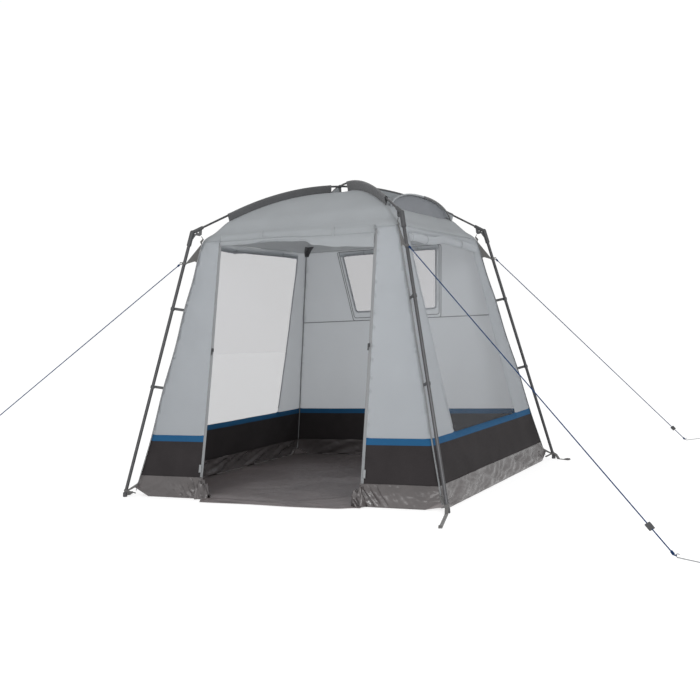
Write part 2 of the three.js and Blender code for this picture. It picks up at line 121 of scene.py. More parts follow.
# ---- materials -----------------------------------------------------------------------------------
def srgb(r, g, b):
    def linear(c):
        c /= 255
        return c / 12.92 if c <= 0.04045 else ((c + 0.055) / 1.055) ** 2.4

    return (linear(r), linear(g), linear(b), 1.0)


def surface(name, color, rough, *, metal=0.0, tone=0.08, tone_scale=6.0, bumps=(), weave=0.0, sheen=0.0,
            specular=0.5, through=0.0, glow=0.5, holes=0.0, rough_spread=0.0):
    """A procedural material. bumps are (scale, height) pairs of noise relief, weave is the thread
    spacing, through and glow the share and the tone of the light that soaks into the cloth and out of
    its other face, and holes the share of open mesh."""
    mat = bpy.data.materials.new(name)
    mat.use_nodes = True
    nodes, links = mat.node_tree.nodes, mat.node_tree.links
    nodes.clear()
    out = nodes.new("ShaderNodeOutputMaterial")
    bsdf = nodes.new("ShaderNodeBsdfPrincipled")
    bsdf.inputs["Roughness"].default_value = rough
    bsdf.inputs["Metallic"].default_value = metal
    bsdf.inputs["Sheen Weight"].default_value = sheen
    bsdf.inputs["Specular IOR Level"].default_value = specular
    place = nodes.new("ShaderNodeTexCoord")

    cloud = nodes.new("ShaderNodeTexNoise")
    cloud.inputs["Scale"].default_value = tone_scale
    cloud.inputs["Detail"].default_value = 4
    links.new(place.outputs["Object"], cloud.inputs["Vector"])
    tint = nodes.new("ShaderNodeValToRGB")
    tint.color_ramp.elements[0].position, tint.color_ramp.elements[1].position = 0.3, 0.7
    tint.color_ramp.elements[0].color = (*[c * (1 - tone) for c in color[:3]], 1)
    tint.color_ramp.elements[1].color = (*[min(c * (1 + tone), 1) for c in color[:3]], 1)
    links.new(cloud.outputs["Fac"], tint.inputs["Fac"])
    links.new(tint.outputs["Color"], bsdf.inputs["Base Color"])
    if rough_spread:
        spread = nodes.new("ShaderNodeMapRange")
        spread.inputs["To Min"].default_value = max(rough - rough_spread, 0.05)
        spread.inputs["To Max"].default_value = min(rough + rough_spread, 1)
        links.new(cloud.outputs["Fac"], spread.inputs["Value"])
        links.new(spread.outputs["Result"], bsdf.inputs["Roughness"])

    relief = None

    def add_relief(height, distance):
        nonlocal relief
        bump = nodes.new("ShaderNodeBump")
        bump.inputs["Strength"].default_value = 1.0
        bump.inputs["Distance"].default_value = distance
        links.new(height, bump.inputs["Height"])
        if relief is not None:
            links.new(relief, bump.inputs["Normal"])
        relief = bump.outputs["Normal"]

    for scale, height in bumps:
        grain = nodes.new("ShaderNodeTexNoise")
        grain.inputs["Scale"].default_value = scale
        grain.inputs["Detail"].default_value = 3
        links.new(place.outputs["Object"], grain.inputs["Vector"])
        add_relief(grain.outputs["Fac"], height)

    if weave:
        turn = nodes.new("ShaderNodeMapping")
        turn.inputs["Rotation"].default_value = (0, 0, math.radians(45))
        links.new(place.outputs["Object"], turn.inputs["Vector"])
        for axis in "XYZ":
            wave = nodes.new("ShaderNodeTexWave")
            wave.bands_direction = axis
            wave.inputs["Scale"].default_value = 0.314 / weave
            links.new(turn.outputs["Vector"], wave.inputs["Vector"])
            add_relief(wave.outputs["Fac"], weave * 0.12)
    if relief is not None:
        links.new(relief, bsdf.inputs["Normal"])

    shown = bsdf.outputs["BSDF"]
    if through:
        soaked = nodes.new("ShaderNodeBsdfTranslucent")
        soaked.inputs["Color"].default_value = (glow * 0.985, glow, glow * 1.015, 1)
        mix = nodes.new("ShaderNodeMixShader")
        mix.inputs["Fac"].default_value = through
        links.new(shown, mix.inputs[1])
        links.new(soaked.outputs["BSDF"], mix.inputs[2])
        shown = mix.outputs["Shader"]
    if holes:
        clear = nodes.new("ShaderNodeBsdfTransparent")
        mix = nodes.new("ShaderNodeMixShader")
        mix.inputs["Fac"].default_value = holes
        links.new(shown, mix.inputs[1])
        links.new(clear.outputs["BSDF"], mix.inputs[2])
        shown = mix.outputs["Shader"]
    links.new(shown, out.inputs["Surface"])
    return mat


CLOTH_BUMPS = ((9.0, 0.006), (34.0, 0.0016))
M = {
    "canopy": surface("canopy_cloth", srgb(176, 180, 184), 0.8, tone=0.03, bumps=CLOTH_BUMPS, weave=0.0016,
                      sheen=0.05, specular=0.2, through=0.55, glow=0.88),
    "roof": surface("roof_cloth", srgb(172, 176, 179), 0.8, tone=0.03, bumps=CLOTH_BUMPS, weave=0.0016,
                    sheen=0.05, specular=0.2, through=0.45, glow=0.72),
    "black": surface("black_band_cloth", srgb(44, 41, 42), 0.8, tone=0.12, bumps=CLOTH_BUMPS, weave=0.0016,
                     sheen=0.01, specular=0.1),
    "blue": surface("blue_stripe_cloth", srgb(30, 76, 112), 0.75, tone=0.06, bumps=CLOTH_BUMPS, weave=0.0016,
                    sheen=0.01, specular=0.1),
    "mesh": surface("window_mesh", srgb(127, 127, 138), 0.85, tone=0.04, weave=0.0018, specular=0.2,
                    holes=0.73),
    "close_mesh": surface("close_window_mesh", srgb(120, 119, 128), 0.85, tone=0.04, weave=0.0018,
                          specular=0.2, holes=0.67),
    # the right window's screen is the same mesh as the left window's; this copy's lighter colour is a
    # painted sheen for the light that the mesh catches
    "sheen_painted_mesh": surface("sheen_painted_window_mesh", srgb(182, 185, 190), 0.8, tone=0.04, weave=0.0018,
                          specular=0.3, holes=0.95),
    "vent": surface("vent_mesh_cloth", srgb(124, 127, 132), 0.85, tone=0.05, weave=0.0018, holes=0.1),
    "sleeve": surface("sleeve_cloth", srgb(70, 71, 73), 0.8, tone=0.1, bumps=((40.0, 0.003),), weave=0.0014,
                      sheen=0.2),
    "binding": surface("binding_tape", srgb(120, 122, 124), 0.8, tone=0.08, weave=0.0012, sheen=0.1),
    "webbing": surface("webbing", srgb(82, 81, 80), 0.8, tone=0.12, weave=0.0022, sheen=0.2),
    # one groundsheet film in two copies: this darker one for the upright tub edges and the gathers, and the
    # lighter one below for the floor and the folded-out lip; the difference between them is painted light
    # and shade, lighter where the film lies flat and darker where it stands up
    "groundsheet": surface("groundsheet_film_shaded_copy", srgb(78, 74, 74), 0.25, tone=0.14, tone_scale=5.0,
                           bumps=((5.0, 0.010), (24.0, 0.0006)), specular=0.6, rough_spread=0.06),
    "floor": surface("groundsheet_film_lit_copy", srgb(104, 97, 97), 0.36, tone=0.16, tone_scale=2.5,
                     bumps=((5.0, 0.010),), specular=0.5, rough_spread=0.08),
    "tube": surface("painted_tube", srgb(62, 62, 64), 0.42, metal=0.35, tone=0.08, tone_scale=14.0,
                    bumps=((220.0, 0.0002),)),
    "plastic": surface("moulded_plastic", srgb(54, 55, 57), 0.5, tone=0.1, tone_scale=30.0,
                       bumps=((400.0, 0.0002),)),
    "tab": surface("tab_plastic", srgb(124, 126, 128), 0.5, tone=0.06, tone_scale=30.0,
                   bumps=((400.0, 0.0002),)),
    "peg": surface("peg_steel", srgb(150, 152, 155), 0.35, metal=0.9, tone=0.1, tone_scale=60.0,
                   bumps=((300.0, 0.0001),)),
    "cord": surface("guy_cord", srgb(24, 50, 88), 0.8, tone=0.15, tone_scale=60.0, weave=0.0012,
                    specular=0.1),
}
for slot, names in {
    "tube": ("leg_", "roof_pole_"),
    "plastic": ("elbow_", "leg_clip_", "apex_hook", "zip_slider_", "guy_runner_"),
    "webbing": ("corner_tie_", "foot_strap_"),
    "peg": ("peg_",),
}.items():
    for name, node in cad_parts.items():
        if name.startswith(names):
            node.data.materials.clear()
            node.data.materials.append(M[slot])


# ---- building helpers ----------------------------------------------------------------------------
def mesh_object(name, points, faces, mats, face_mats=None):
    mesh = bpy.data.meshes.new(name)
    mesh.from_pydata([tuple(p) for p in points], [], faces)
    for mat in mats:
        mesh.materials.append(M[mat])
    if face_mats:
        mesh.polygons.foreach_set("material_index", face_mats)
    mesh.polygons.foreach_set("use_smooth", [True] * len(mesh.polygons))
    mesh.update()
    obj = bpy.data.objects.new(name, mesh)
    bpy.context.scene.collection.objects.link(obj)
    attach(obj, BODY)
    return obj


def thicken(obj, thickness):
    """Gives a sheet its thickness, half of it to each side."""
    solidify = obj.modifiers.new("thickness", "SOLIDIFY")
    solidify.thickness, solidify.offset = thickness, 0.0
    return obj


CLOTH_THICK = 0.0012
# the closest that a sheet's filling points come to a line and to an edge, in spacings
NEAREST_LINE, NEAREST_EDGE = 0.4, 0.5


def cut_sheet(name, outline, holes, lines, shape, mats, mat_of, spacing, thickness=CLOTH_THICK):
    """A sheet cut to a flat outline with holes, filled with points at a spacing, and put in place by
    shape(u, v). lines are extra rows of v to cut along, so that a change of cloth has a clean edge."""
    def fine(loop):
        points = []
        for a, b in zip(loop, loop[1:] + loop[:1]):
            steps = max(1, round(math.dist(a, b) / spacing))
            points += [(lerp(a[0], b[0], i / steps), lerp(a[1], b[1], i / steps)) for i in range(steps)]
        return points

    loops = [fine(loop) for loop in (outline, *holes)]
    verts, edges = [], []
    for loop in loops:
        start = len(verts)
        verts += loop
        edges += [(start + i, start + (i + 1) % len(loop)) for i in range(len(loop))]
    us, vs = [p[0] for p in outline], [p[1] for p in outline]
    columns = round((max(us) - min(us)) / spacing)
    rows = round((max(vs) - min(vs)) / spacing)
    row_values = [lerp(min(vs), max(vs), (j + 0.5) / rows) for j in range(rows)]
    row_values = [v for v in row_values if all(abs(v - line) > spacing * NEAREST_LINE for line in lines)]
    row_values += lines
    for v in row_values:
        for i in range(columns):
            u = lerp(min(us), max(us), (i + 0.5) / columns)
            near = min(min(math.dist((u, v), p) for p in loop) for loop in loops)
            if near > spacing * NEAREST_EDGE and inside(u, v, loops):
                verts.append((u, v))
    got, _, faces, *_ = delaunay_2d_cdt([Vector(v) for v in verts], edges, [], 0, 1e-6)
    kept = []
    for face in faces:
        cu = sum(got[i][0] for i in face) / 3
        cv = sum(got[i][1] for i in face) / 3
        if inside(cu, cv, loops):
            kept.append((list(face), cv))
    points = [shape(p[0], p[1]) for p in got]
    obj = mesh_object(name, points, [f for f, _ in kept], mats, [mat_of(v) for _, v in kept])
    return thicken(obj, thickness)


def inside(u, v, loops):
    """Whether a point is inside the outer loop and outside the holes."""
    crossings = 0
    for loop in loops:
        for (u0, v0), (u1, v1) in zip(loop, loop[1:] + loop[:1]):
            if (v0 > v) != (v1 > v) and u < u0 + (v - v0) / (v1 - v0) * (u1 - u0):
                crossings += 1
    return crossings % 2 == 1


def grid_sheet(name, columns, rows, shape, mat, thickness=CLOTH_THICK):
    """A sheet of quads over the unit square, put in place by shape(s, t)."""
    wide = columns + 1
    points = [shape(i / columns, j / rows) for j in range(rows + 1) for i in range(wide)]
    faces = []
    for j in range(rows):
        for i in range(columns):
            low, high = j * wide + i, (j + 1) * wide + i
            faces.append((low, low + 1, high + 1, high))
    obj = mesh_object(name, points, faces, [mat])
    if thickness:
        thicken(obj, thickness)
    return obj


def sweep(name, path, section, mat, closed_path=False, up_hint=Vector((0, 0, 1))):
    """A solid strip: the section, (across, up) pairs, carried along the path. up_hint is the direction
    of up, or a function that gives it at a point."""
    count, ring = len(path), len(section)
    points, faces = [], []
    for i, p in enumerate(path):
        before = path[i - 1] if i or closed_path else p
        after = path[(i + 1) % count] if i < count - 1 or closed_path else p
        along = (after - before).normalized()
        hint = up_hint(p) if callable(up_hint) else up_hint
        across = along.cross(hint).normalized()
        upward = across.cross(along)
        points += [p + across * a + upward * b for a, b in section]
    for i in range(count if closed_path else count - 1):
        j = (i + 1) % count
        for k in range(ring):
            m = (k + 1) % ring
            faces.append((i * ring + k, i * ring + m, j * ring + m, j * ring + k))
    if not closed_path:
        faces += [tuple(reversed(range(ring))), tuple((count - 1) * ring + k for k in range(ring))]
    return mesh_object(name, points, faces, [mat])


def band(width, thick):
    """A flat tape's section with softened edges."""
    w, t = width / 2, thick / 2
    lower = [(-w, -t * 0.5), (-w + t, -t), (w - t, -t), (w, -t * 0.5)]
    upper = [(w, t * 0.5), (w - t, t), (-w + t, t), (-w, t * 0.5)]
    return lower + upper


def ring_section(radius, sides):
    angles = [i * 2 * math.pi / sides for i in range(sides)]
    return [(radius * math.cos(a), radius * math.sin(a)) for a in angles]


# ---- guy lines -----------------------------------------------------------------------------------
EYE_R = leg_r(RING_Z) + 0.022
CORD_STEPS = 24
WOUND_CORD_R = 0.0022
TURN_R, TURN_STEPS = 0.0050, 14


def turns(origin, along, across, lift, reach, count):
    """count turns of cord wound round a line, over a reach along it."""
    steps = count * TURN_STEPS
    angles = [i * 2 * math.pi / TURN_STEPS for i in range(steps + 1)]
    return [origin + along * reach * i / steps + across * TURN_R * math.cos(a) + lift * TURN_R * math.sin(a)
            for i, a in enumerate(angles)]


for corner, (_, heading) in CORNERS.items():
    eye = on_corner(corner, EYE_R, RING_Z)
    out = Vector((math.cos(math.radians(heading)), math.sin(math.radians(heading)), 0))
    peg_end = eye + out * GUY_RUN
    peg_end.z = GUY_END_Z
    along = (peg_end - eye).normalized()
    start = eye + along * 0.011
    curve = bpy.data.curves.new(f"guy_cord_{corner}", "CURVE")
    curve.dimensions, curve.bevel_depth, curve.bevel_resolution = "3D", GUY_R, 3
    curve.use_fill_caps = True
    spline = curve.splines.new("POLY")
    spline.points.add(CORD_STEPS)
    for i, point in enumerate(spline.points):
        point.co = (*start.lerp(peg_end, i / CORD_STEPS), 1)
    curve.materials.append(M["cord"])
    cord = bpy.data.objects.new(f"guy_cord_{corner}", curve)
    bpy.context.scene.collection.objects.link(cord)
    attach(cord, BODY)
    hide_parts(f"guy_line_{corner}")

    # turns of cord round it at the eye and at the peg, and the loop over the peg's hook
    across = along.cross(Vector((0, 0, 1))).normalized()
    lift = across.cross(along)
    wound = ring_section(WOUND_CORD_R, 8)
    hitch_path = turns(start + along * 0.003, along, across, lift, reach=0.016, count=4)
    hitch = sweep(f"guy_hitch_{corner}", hitch_path, wound, "cord", up_hint=along)
    knot_path = turns(peg_end - along * 0.022, along, across, lift, reach=0.018, count=4)
    knot = sweep(f"guy_knot_{corner}", knot_path, wound, "cord", up_hint=along)
    loop_path = [peg_end + out * (0.0055 + 0.0065 * math.cos(a)) + across * 0.0055 * math.sin(a)
                 for a in (2 * math.pi * i / 24 for i in range(24))]
    loop = sweep(f"guy_loop_{corner}", loop_path, wound, "cord", closed_path=True)


# ---- body surface --------------------------------------------------------------------------------
# The side profile as (half, z): the straight lean, a soft shoulder, then the arch of the roof.
SHOULDER_START_Z = 1.60
EAVE_HALF = 0.7265
SHOULDER = [
    (BASE_HALF - WALL_LEAN * 1.56, 1.56),
    (BASE_HALF - WALL_LEAN * SHOULDER_START_Z, SHOULDER_START_Z),
    (0.7375, 1.65),
    (EAVE_HALF, EAVE_Z),
    (0.7065, 1.7185),
    (0.665, 1.7525),
    (SLEEVE_OUTER_R / DIAGONAL, arch_z(SLEEVE_OUTER_R, LOWER_APEX_Z) - ROOF_DROP),
    (0.55, arch_z(0.55 * DIAGONAL, LOWER_APEX_Z) - ROOF_DROP),
]


def catmull(p0, p1, p2, p3, t):
    return tuple(
        0.5 * (2 * b + (c - a) * t + (2 * a - 5 * b + 4 * c - d) * t * t + (3 * b - a - 3 * c + d) * t**3)
        for a, b, c, d in zip(p0, p1, p2, p3)
    )


SHOULDER_CURVE = [
    catmull(*SHOULDER[i - 1 : i + 3], j / 12) for i in range(1, len(SHOULDER) - 2) for j in range(12)
] + [SHOULDER[-2]]


def wall_half(z):
    """Half-width of the walls at a height."""
    if z <= SHOULDER_START_Z:
        return BASE_HALF - WALL_LEAN * z
    for (h0, z0), (h1, z1) in zip(SHOULDER_CURVE, SHOULDER_CURVE[1:]):
        if z <= z1:
            return lerp(h0, h1, (z - z0) / (z1 - z0))
    return SHOULDER_CURVE[-1][0]


def roof_z(half):
    """Height of the roof, without sag, at a half-width."""
    if half <= SHOULDER_CURVE[-1][0]:
        return arch_z(half * DIAGONAL, LOWER_APEX_Z) - ROOF_DROP
    for (h0, z0), (h1, z1) in zip(SHOULDER_CURVE, SHOULDER_CURVE[1:]):
        if half >= h1:
            return lerp(z1, z0, (half - h1) / (h0 - h1))
    return SHOULDER_CURVE[0][1]


TIED_Z = (0.05, 0.712, 1.235, 1.62, 1.70)


def scallop(z):
    """How far the corner seam falls back in between the points where it is tied out."""
    for low, high in zip(TIED_Z, TIED_Z[1:]):
        if low <= z <= high:
            return 0.007 * math.sin(math.pi * (z - low) / (high - low)) ** 2 * min((high - low) / 0.5, 1)
    return 0.0


def folds_from(x, z, cx, cz, reach, height, count, phase):
    """Tension folds that fan out of a tied point and die away."""
    dx, dz = x - cx, z - cz
    away = math.hypot(dx, dz)
    strength = height * math.exp(-away / reach) * smoothstep(away / 0.06)
    return strength * math.sin(count * math.atan2(dz, dx) + phase)


def wall_relief(side, x, z):
    """How far the cloth stands out of its flat plane, before it is faded out at the corners."""
    half = wall_half(z)
    seed = 10.0 * side
    height = min(max((z - TUB_Z) / (EAVE_Z - TUB_Z), 0), 1)
    sag = -0.012 * math.cos(math.pi * x / (2 * half)) * math.sin(math.pi * height)
    soft = 0.0045 * noise.noise(Vector((x * 2.2 + seed, z * 1.3, 1.7)))
    soft += 0.002 * noise.noise(Vector((x * 7 + seed, z * 3.1, 4.2)))
    fan = 0.0
    for sign in (-1, 1):
        for cz, strength in ((0.70, 0.6), (1.225, 0.8), (1.66, 1.0), (TUB_Z, 0.5)):
            phase = seed + cz * 5 + sign
            fan += folds_from(x, z, sign * wall_half(cz), cz, 0.16, 0.0035 * strength, 9, phase)
    return sag + soft + fan


def wall_point(side, x, z, lift=0.0):
    """The point of a wall at x along it, seen from outside, and z up it."""
    half = wall_half(z)
    corner = half - scallop(z) / DIAGONAL
    t = x / half
    steady = DOOR_HALF / half if side == 0 else 0.55
    half_here = lerp(half, corner, smoothstep((abs(t) - steady) / (1 - steady)))
    fade = smoothstep((1 - abs(t)) / 0.12)
    top = smoothstep((EAVE_Z - z) / 0.12)
    out = wall_relief(side, x, z) * fade * (0.25 + 0.75 * top) + lift
    return turned(side, (t * half_here, -half_here - out, z + out * WALL_LEAN))


CORNER_POINTS = 6


def window_outline(bottom, top, low, high, corner, margin=0.0):
    """A window's round-cornered outline, from its lower left corner on, anticlockwise."""
    ends = [(-bottom - margin, low - margin), (bottom + margin, low - margin),
            (top + margin, high + margin), (-top - margin, high + margin)]
    loop = []
    for i, end in enumerate(ends):
        before, after = ends[i - 1], ends[(i + 1) % 4]
        enter = [lerp(e, b, corner / math.dist(end, before)) for e, b in zip(end, before)]
        leave = [lerp(e, a, corner / math.dist(end, after)) for e, a in zip(end, after)]
        for j in range(CORNER_POINTS):
            t = j / (CORNER_POINTS - 1)
            loop.append(tuple((1 - t) ** 2 * a + 2 * t * (1 - t) * e + t * t * b
                              for a, e, b in zip(enter, end, leave)))
    return loop


def wall_outline(x0=None, x1=None):
    """The wall between two x positions, or out to its corners, from the tub up to the eave."""
    levels = [TUB_Z + (EAVE_Z - TUB_Z) * i / 40 for i in range(41)]
    right_edge = [(x1 if x1 is not None else wall_half(z), z) for z in levels]
    left_edge = [(x0 if x0 is not None else -wall_half(z), z) for z in reversed(levels)]
    return right_edge + left_edge


def cloth_of(v):
    """Which of the wall's cloths is at a height: black band, blue stripe or canopy."""
    return 2 if v < BLACK_TOP_Z else 1 if v < BLUE_TOP_Z else 0


TAPE_STEP = 0.03


def tape_along(name, loop, side, width=0.012, mat="binding", lift=0.0012, closed=True, thick=0.0016):
    """Binding tape sewn along a line on a wall."""
    path = []
    pairs = zip(loop, loop[1:] + loop[:1]) if closed else zip(loop, loop[1:])
    for a, b in pairs:
        steps = max(1, round(math.dist(a, b) / TAPE_STEP))
        path += [wall_point(side, lerp(a[0], b[0], i / steps), lerp(a[1], b[1], i / steps), lift)
                 for i in range(steps)]
    if not closed:
        path.append(wall_point(side, *loop[-1], lift))
    normal = turned(side, (0, -1, WALL_LEAN)).normalized()
    return sweep(name, path, band(width, thick), mat, closed_path=closed, up_hint=normal)


SPACING = 0.028
SIDE_WINDOW = dict(bottom=0.645, top=0.600, low=BLUE_TOP_Z, high=1.648, corner=0.035)
BACK_WINDOW = dict(bottom=0.345, top=0.400, low=1.197, high=1.648, corner=0.025)
BACK_FRAME = dict(bottom=0.379, top=0.446, low=1.127, high=1.678, corner=0.02)
WALLS = [("wall_cloth_right", 1, SIDE_WINDOW, "right", "sheen_painted_mesh"),
         ("wall_cloth_back", 2, BACK_WINDOW, "back", "close_mesh"),
         ("wall_cloth_left", 3, SIDE_WINDOW, "left", "mesh")]
WALL_CLOTHS = ("canopy", "blue", "black")
STRIPES = (BLACK_TOP_Z, BLUE_TOP_Z)
for name, side, window, word, screen in WALLS:
    hole = window_outline(**window)
    wall = cut_sheet(name, wall_outline(), [hole], STRIPES, lambda u, v, s=side: wall_point(s, u, v),
                     WALL_CLOTHS, cloth_of, SPACING)
    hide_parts(f"wall_{word}")
    # a side window stands on the blue stripe, whose seam holds its lower edge, so the binding leaves it out
    bound = hole if window is BACK_WINDOW else hole[2 * CORNER_POINTS - 1:] + hole[:1]
    trim = tape_along(f"window_binding_{word}", bound, side, mat="canopy", closed=window is BACK_WINDOW)
    inner = tape_along(f"window_binding_inside_{word}", bound, side, mat="canopy", lift=-0.0014,
                       closed=window is BACK_WINDOW)
    mesh = cut_sheet(f"window_screen_{word}", window_outline(**window, margin=0.004), [], (),
                     lambda u, v, s=side: wall_point(s, u, v, -0.0006), (screen,), lambda v: 0, 0.04,
                     thickness=0.0004)
    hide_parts(f"window_mesh_{word}")

for word, sign in (("left", -1), ("right", 1)):
    x_door = sign * DOOR_HALF
    outline = wall_outline(x0=x_door) if sign > 0 else wall_outline(x1=x_door)
    jamb = cut_sheet(f"door_jamb_{word}", outline, [], STRIPES, lambda u, v: wall_point(0, u, v),
                     WALL_CLOTHS, cloth_of, SPACING)
    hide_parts(f"wall_front_{word}")
    tape = tape_along(f"door_zip_tape_{word}", [(x_door, TUB_Z + 0.002), (x_door, HEADER_Z)], 0, width=0.02,
                      lift=0.0, closed=False, thick=0.004)

# corner seams outside, seam tape and a reinforcing patch inside
SEAM_STEPS = 60
for corner in CORNERS:
    outward = on_corner(corner, 1, 0)
    for name, shift, width, low in ((f"corner_seam_{corner}", 0.0035, 0.009, 0.035),
                                    (f"corner_seam_inside_{corner}", -0.006, 0.007, TUB_Z)):
        path = []
        for i in range(SEAM_STEPS + 1):
            z = lerp(low, EAVE_Z - 0.004, i / SEAM_STEPS)
            path.append(on_corner(corner, wall_half(z) * DIAGONAL - scallop(z) + shift, z))
        sweep(name, path, band(width, 0.004), "binding", up_hint=outward)

PATCH_TOP_Z, PATCH_LOW_Z, PATCH_REACH, PATCH_INSET = 1.735, 1.660, 0.052, 0.006
for side in range(4):
    for sign in (-1, 1):
        def patch_point(s, t, side=side, sign=sign):
            z = lerp(PATCH_TOP_Z, PATCH_LOW_Z, t)
            reach = PATCH_REACH * (1 - 0.6 * t)
            return wall_point(side, sign * (wall_half(z) - PATCH_INSET - reach * s), z, -PATCH_INSET)
        grid_sheet(f"corner_patch_{side}_{(sign + 1) // 2}", 8, 6, patch_point, "sleeve",
                   thickness=0.0015)

# the back window's frame of cloth, with a line of stitching along each edge, and the seam across the wall
BACK_STITCH = dict(BACK_FRAME, bottom=0.367, top=0.430, low=1.150)
CROSS_SEAM_Z = BACK_FRAME["low"]
CROSS_SEAM_HALF = wall_half(CROSS_SEAM_Z) - 0.01
SEAM_THICK = 0.0012
FACES = (("inside", -0.0016), ("outside", 0.0016))
for name, frame_size in (("back_frame_seam", BACK_FRAME), ("back_frame_stitch", BACK_STITCH)):
    outline = window_outline(**frame_size)
    for face, lift in FACES:
        tape_along(f"{name}_{face}", outline, 2, width=0.005, lift=lift, thick=SEAM_THICK)
for face, lift in FACES:
    cross_seam = [(-CROSS_SEAM_HALF, CROSS_SEAM_Z), (CROSS_SEAM_HALF, CROSS_SEAM_Z)]
    tape_along(f"back_cross_seam_{face}", cross_seam, 2, width=0.006, lift=lift, closed=False,
               thick=SEAM_THICK)


# ---- roof ----------------------------------------------------------------------------------------
def roof_relief(side, x, half):
    """Sag and folds of the roof cloth between the sleeves, faded out at the sleeves and the eave."""
    t = x / max(half, 1e-6)
    fade = smoothstep((1 - abs(t)) / 0.25) * smoothstep(half / 0.1)
    sag = -0.010 * math.cos(math.pi * t / 2) * math.sin(math.pi * min(half / 0.72, 1))
    soft = 0.004 * noise.noise(Vector((x * 2.6 + side * 7, half * 3.0, 8.1)))
    soft += 0.0018 * noise.noise(Vector((x * 8 + side * 7, half * 9.0, 2.5)))
    fan = 0.0
    for sign in (-1, 1):
        fan += folds_from(x, half, sign * 0.72, 0.72, 0.2, 0.004, 11, side * 3 + sign)
        fan += folds_from(x, half, sign * 0.60, 0.60, 0.12, 0.002, 8, side * 5 + sign)
    return (sag + soft + fan) * fade


def roof_point(side, x, half):
    return turned(side, (x, -half, roof_z(half) + roof_relief(side, x, half)))


# rows of the roof: even over the arch, then closer together round the shoulder
ARCH_HALF, ARCH_ROWS, SHOULDER_ROWS = 0.6, 24, 16
ROOF_HALVES = [ARCH_HALF * (i / ARCH_ROWS) for i in range(ARCH_ROWS + 1)]
for i in range(1, SHOULDER_ROWS + 1):
    share_out = i / SHOULDER_ROWS
    ROOF_HALVES.append(lerp(ARCH_HALF, wall_half(EAVE_Z), smoothstep(share_out) * 0.35 + share_out * 0.65))


def build_roof():
    """Four slopes from the centre out to the eave, and the header over the doorway below the front one."""
    columns, header_rows = 48, 2
    points, faces, index = [], [], {}

    def vertex(p):
        key = tuple(round(c, 5) for c in p)
        if key not in index:
            index[key] = len(points)
            points.append(p)
        return index[key]

    for side in range(4):
        rows = []
        for half in ROOF_HALVES:
            xs = [lerp(-half, half, i / columns) for i in range(columns + 1)]
            rows.append([vertex(roof_point(side, x, half)) for x in xs])
        if side == 0:
            xs = [lerp(-EAVE_HALF, EAVE_HALF, i / columns) for i in range(columns + 1)]
            for j in range(1, header_rows + 1):
                z = lerp(EAVE_Z, HEADER_Z, j / header_rows)
                rows.append([vertex(wall_point(0, min(max(x, -DOOR_HALF), DOOR_HALF), z)) for x in xs])
        for a, b in zip(rows, rows[1:]):
            for i in range(columns):
                quad = []
                for v in (a[i], b[i], b[i + 1], a[i + 1]):
                    if v not in quad:
                        quad.append(v)
                if len(quad) > 2:
                    faces.append(tuple(quad))
    return mesh_object("roof_cloth", points, faces, ["roof"])


roof = thicken(build_roof(), CLOTH_THICK)
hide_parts("roof", "wall_front_header")


# ---- pole sleeves --------------------------------------------------------------------------------
SLEEVE_R = 0.0098
FIN_FROM = -0.25  # how low on the sleeve's round, in radii, its two layers start to run together
FIN_TOP_HALF, FIN_LOW_HALF = 0.0095, 0.0012


def build_sleeve(corner):
    """A tunnel of cloth round the pole, with a fin below it that is sewn to the roof."""
    apex = UPPER_APEX_Z if corner in UPPER_POLE else LOWER_APEX_Z
    rows, around = 60, 20
    points = []
    for i in range(rows + 1):
        r = lerp(SLEEVE_INNER_R, SLEEVE_OUTER_R, i / rows)
        pole_z = arch_z(r, apex)
        seam_z = roof_z(r / DIAGONAL) + 0.001
        slope = (arch_z(r + 0.01, apex) - arch_z(r - 0.01, apex)) / 0.02
        pucker = 0.0014 * math.sin(r * 150 + 1.3 * math.sin(r * 40))
        flare = 1 + 0.12 * smoothstep(1 - min(i, rows - i) / 2)
        for k in range(around):
            turn = 2 * math.pi * k / around
            x, y = math.sin(turn), math.cos(turn)
            if y > FIN_FROM:
                across = (SLEEVE_R * flare + pucker * 0.4) * x
                height = pole_z + SLEEVE_R * flare * y
            else:
                t = (FIN_FROM - y) / (1 + FIN_FROM)
                layer = 0 if k == around // 2 else 1 if x > 0 else -1
                across = lerp(FIN_TOP_HALF, FIN_LOW_HALF, smoothstep(t * 1.15)) * layer
                across += pucker * math.sin(math.pi * min(t, 1)) * (0.7 + 0.3 * math.sin(r * 61))
                height = lerp(pole_z - 0.0024, seam_z, t)
            points.append(on_corner(corner, r + (height - pole_z) * slope * -0.35, height, across))
    faces, face_mats = [], []
    for i in range(rows):
        for k in range(around):
            m = (k + 1) % around
            faces.append((i * around + k, (i + 1) * around + k, (i + 1) * around + m, i * around + m))
            below_pole = math.cos(2 * math.pi * (k + 0.5) / around) < FIN_FROM
            face_mats.append(1 if below_pole and corner.startswith("back") else 0)
    obj = mesh_object(f"sleeve_cloth_{corner}", points, faces, ["sleeve", "roof"], face_mats)
    return thicken(obj, 0.0008)


for corner in CORNERS:
    sleeve = build_sleeve(corner)
    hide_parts(f"pole_sleeve_{corner}")


# ---- vent hood -----------------------------------------------------------------------------------
HOOD_BACK, HOOD_BACK_SHARE = 0.36, 0.58  # where the hood ends up the roof, and its width there
HOOD_COLUMNS = 60


def hood_crest(y):
    """Height of the hood's edge above its base at y, on the face."""
    t = min(abs(y) / HOOD_HALF, 1.0)
    return HOOD_RISE * (1 - t**2.4) ** 0.62


def roof_height(x, y):
    """Height of the roof cloth, with its sag and folds, on the front, right or back slope."""
    if x >= abs(y):
        return roof_point(1, y, x).z
    return roof_point(2, -x, y).z if y > 0 else roof_point(0, x, -y).z


